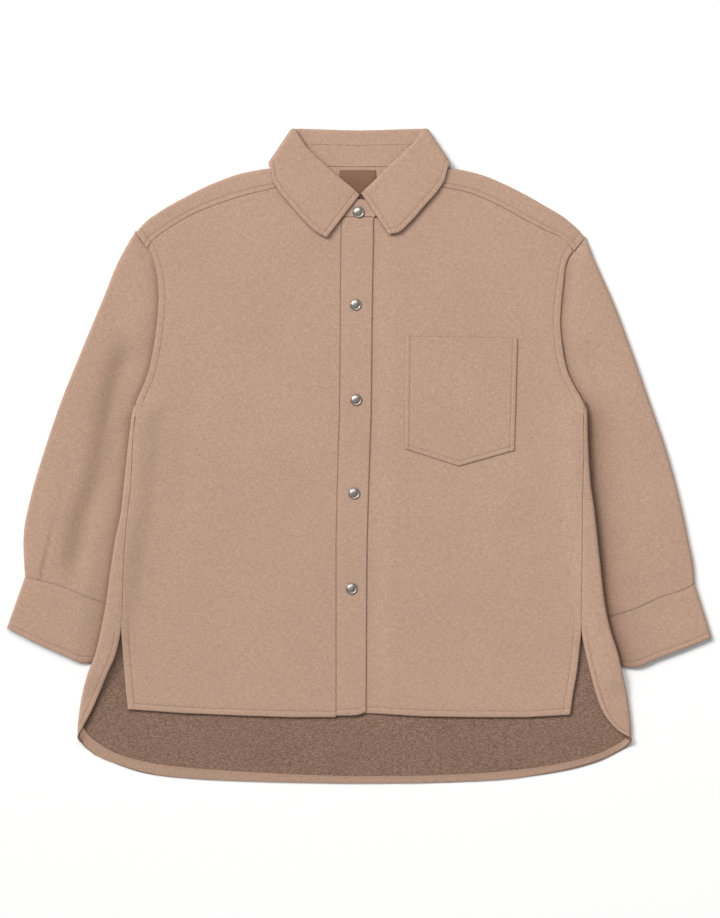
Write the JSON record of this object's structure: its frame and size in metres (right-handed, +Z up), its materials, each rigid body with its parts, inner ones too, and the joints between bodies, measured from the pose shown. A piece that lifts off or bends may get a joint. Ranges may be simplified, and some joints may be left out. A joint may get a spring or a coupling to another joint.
{
  "type": "shirt-jacket laid flat",
  "caption": "Wool shirt-jacket laid flat, front up: snapped placket, turned-down collar, patch pocket, cuffed sleeves, side slits and a longer curved back.",
  "frame": {"origin": "centre of the box's bottom face, on the surface the garment lies on", "axes": "+Z up, away from the surface and out of the garment's front; +X to the right seen from above, towards the wearer's left sleeve; +Y towards the collar"},
  "size_m": [0.8454, 0.7853, 0.0126],
  "materials": {
    "cloth": "camel wool felted on the outside, darker brown inside, matte",
    "label": "plain brown woven label, left bare",
    "snap": "darkened nickel, satin"
  },
  "bodies": {
    "root": {"back": "cloth", "yoke": "cloth", "front_right": "cloth", "front_left": "cloth", "placket": "cloth", "pocket": "cloth", "collar_stand": "cloth", "collar_leaf": "cloth", "sleeve_right": "cloth", "sleeve_left": "cloth", "cuff_right": "cloth", "cuff_left": "cloth", "back_hem": "cloth", "neck_label": "label", "snap_1": "snap", "snap_2": "snap", "snap_3": "snap", "snap_4": "snap", "snap_5": "snap"}
  },
  "joints": []
}
